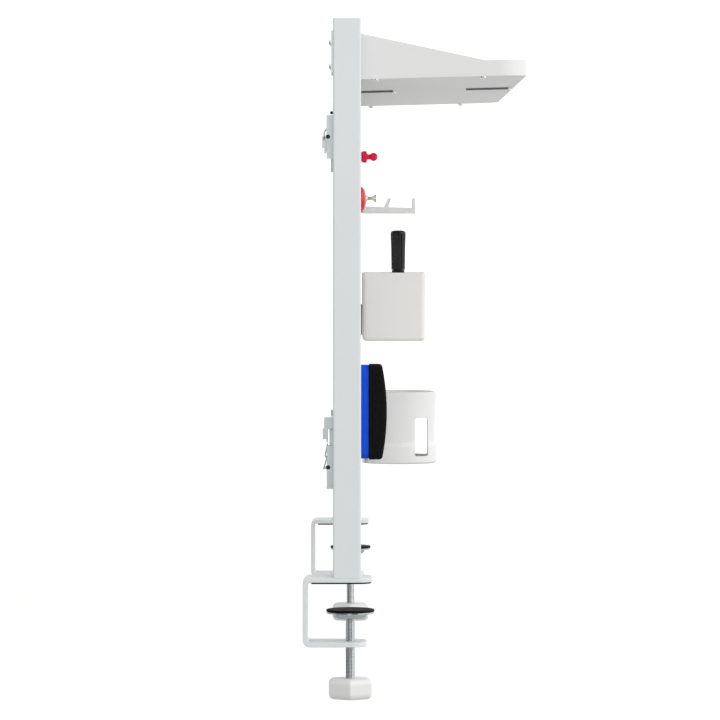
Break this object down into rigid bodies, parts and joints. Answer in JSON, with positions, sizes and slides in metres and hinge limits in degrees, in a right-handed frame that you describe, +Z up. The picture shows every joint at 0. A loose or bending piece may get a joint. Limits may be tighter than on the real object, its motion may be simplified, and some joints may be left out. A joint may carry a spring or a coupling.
{
  "type": "desk clamp board organiser with cup holder",
  "caption": "Magnetic white board on two posts with screw desk clamps, a sheet steel shelf, and loose magnetic cup holder, pen cup, hook, eraser and pins.",
  "frame": {"origin": "midway between the two clamps, on the desk top (underside of the rubber pads), at the middle of the posts' depth", "axes": "+Z up, -Y towards the user (shelf and cup holder side, the way the clamp mouths open), X along the board"},
  "size_m": [1.002, 0.2414, 0.7319],
  "materials": {
    "painted_steel": "satin powder coat",
    "cap_plastic": "fine matt",
    "board_enamel": "gloss dry-wipe enamel",
    "core_board": "bare fibreboard",
    "back_skin": "galvanised",
    "aluminium_rail": "satin anodised",
    "zinc_steel": "bright zinc plated",
    "spring_wire": "drawn wire",
    "dark_steel": "black oxide",
    "black_rubber": "matt",
    "magnet_strip": "matt magnetic rubber",
    "knob_plastic": "fine spark texture",
    "white_plastic": "satin",
    "crimson_plastic": "gloss",
    "red_plastic": "gloss",
    "magnet_disc": "nickel plated",
    "bright_steel": "polished",
    "marker_black": "gloss",
    "marker_fibre": "felt tip",
    "blue_felt": "felt",
    "black_foam": "closed-cell foam"
  },
  "bodies": {
    "frame": {"board_back_skin": "back_skin", "board_bottom_rail": "aluminium_rail", "board_core": "core_board", "board_face_sheet": "board_enamel", "board_rest_brackets": "painted_steel", "board_side_rails": "aluminium_rail", "board_top_rail": "aluminium_rail", "bolt_sleeves": "zinc_steel", "catch_bases": "zinc_steel", "catch_keepers": "zinc_steel", "catch_pins": "dark_steel", "desk_pads": "black_rubber", "left_clamp_bracket": "painted_steel", "left_post": "painted_steel", "post_caps": "cap_plastic", "post_welds": "painted_steel", "right_clamp_bracket": "painted_steel", "right_post": "painted_steel", "shelf_back_plate": "painted_steel", "shelf_backing_plates": "painted_steel", "shelf_bolts": "zinc_steel", "shelf_floor": "painted_steel", "shelf_nuts": "zinc_steel", "shelf_rim": "painted_steel", "shelf_screws": "zinc_steel", "shelf_stiffener_bars": "dark_steel", "small_screws": "zinc_steel", "stop_studs": "black_rubber"},
    "left_jaw": {"left_jaw_dish": "zinc_steel", "left_jaw_pad": "black_rubber"},
    "left_screw": {"left_clamp_screw": "zinc_steel", "left_clamp_knob": "knob_plastic"},
    "right_jaw": {"right_jaw_dish": "zinc_steel", "right_jaw_pad": "black_rubber"},
    "right_screw": {"right_clamp_screw": "zinc_steel", "right_clamp_knob": "knob_plastic"},
    "upper_left_lever": {"upper_left_catch_lever": "zinc_steel"},
    "upper_left_bail": {"upper_left_catch_bail": "spring_wire"},
    "lower_left_bail": {"lower_left_catch_bail": "spring_wire"},
    "pen_cup": {"pen_cup": "white_plastic", "pen_cup_magnet": "magnet_strip"},
    "marker": {"marker_barrel": "marker_black", "marker_tip": "marker_fibre"},
    "marker_cap": {"marker_cap": "marker_black"},
    "cup_holder": {"cup_holder": "white_plastic", "cup_holder_magnet": "magnet_strip"},
    "double_hook": {"double_hook": "white_plastic", "double_hook_magnet": "magnet_strip"},
    "push_pin": {"push_pin_grip": "crimson_plastic", "push_pin_magnet": "magnet_disc"},
    "button_magnet": {"button_magnet_cover": "red_plastic", "button_magnet_disc": "magnet_disc"},
    "steel_pin": {"steel_pin_magnet": "bright_steel"},
    "eraser": {"eraser_felt": "blue_felt", "eraser_magnet": "magnet_disc", "eraser_grip": "black_foam"}
  },
  "joints": [
    {"name": "left_jaw_travel", "type": "slide", "parent": "frame", "child": "left_jaw", "axis": [0, 0, 1], "range_m": [-0.0235, 0.024]},
    {"name": "left_screw_turn", "type": "hinge", "parent": "left_jaw", "child": "left_screw", "pos_m": [-0.475, -0.0035, -0.06], "axis": [0, 0, 1], "range_deg": [-5800, 5800]},
    {"name": "right_jaw_travel", "type": "slide", "parent": "frame", "child": "right_jaw", "axis": [0, 0, 1], "range_m": [-0.0235, 0.024]},
    {"name": "right_screw_turn", "type": "hinge", "parent": "right_jaw", "child": "right_screw", "pos_m": [0.475, -0.0035, -0.06], "axis": [0, 0, 1], "range_deg": [-5800, 5800]},
    {"name": "upper_left_lever_swing", "type": "hinge", "parent": "frame", "child": "upper_left_lever", "pos_m": [-0.475, 0.0203, 0.4797], "axis": [1, 0, 0], "range_deg": [0, 75]},
    {"name": "upper_left_bail_swing", "type": "hinge", "parent": "upper_left_lever", "child": "upper_left_bail", "pos_m": [-0.475, 0.0246, 0.4765], "axis": [1, 0, 0], "range_deg": [-94, 0]},
    {"name": "lower_left_bail_swing", "type": "hinge", "parent": "frame", "child": "lower_left_bail", "pos_m": [-0.475, 0.0203, 0.1246], "axis": [1, 0, 0], "range_deg": [-100, 0]},
    {"name": "pen_cup_pull", "type": "slide", "parent": "frame", "child": "pen_cup", "axis": [0, -1, 0], "range_m": [0, 0.12]},
    {"name": "marker_lift", "type": "slide", "parent": "pen_cup", "child": "marker", "axis": [0, 0, 1], "range_m": [0, 0.1]},
    {"name": "marker_cap_pull", "type": "slide", "parent": "marker", "child": "marker_cap", "axis": [0, 0, 1], "range_m": [0, 0.04]},
    {"name": "cup_holder_pull", "type": "slide", "parent": "frame", "child": "cup_holder", "axis": [0, -1, 0], "range_m": [0, 0.12]},
    {"name": "double_hook_pull", "type": "slide", "parent": "frame", "child": "double_hook", "axis": [0, -1, 0], "range_m": [0, 0.1]},
    {"name": "push_pin_pull", "type": "slide", "parent": "frame", "child": "push_pin", "axis": [0, -1, 0], "range_m": [0, 0.06]},
    {"name": "button_magnet_pull", "type": "slide", "parent": "frame", "child": "button_magnet", "axis": [0, -1, 0], "range_m": [0, 0.06]},
    {"name": "steel_pin_pull", "type": "slide", "parent": "frame", "child": "steel_pin", "axis": [0, -1, 0], "range_m": [0, 0.06]},
    {"name": "eraser_pull", "type": "slide", "parent": "frame", "child": "eraser", "axis": [0, -1, 0], "range_m": [0, 0.08]}
  ],
  "couplings": [
    {"joint": "left_screw_turn", "follows": "left_jaw_travel", "rad_per_m": 4188.8},
    {"joint": "right_screw_turn", "follows": "right_jaw_travel", "rad_per_m": 4188.8},
    {"joint": "upper_left_bail_swing", "follows": "upper_left_lever_swing", "ratio": -1.25}
  ]
}
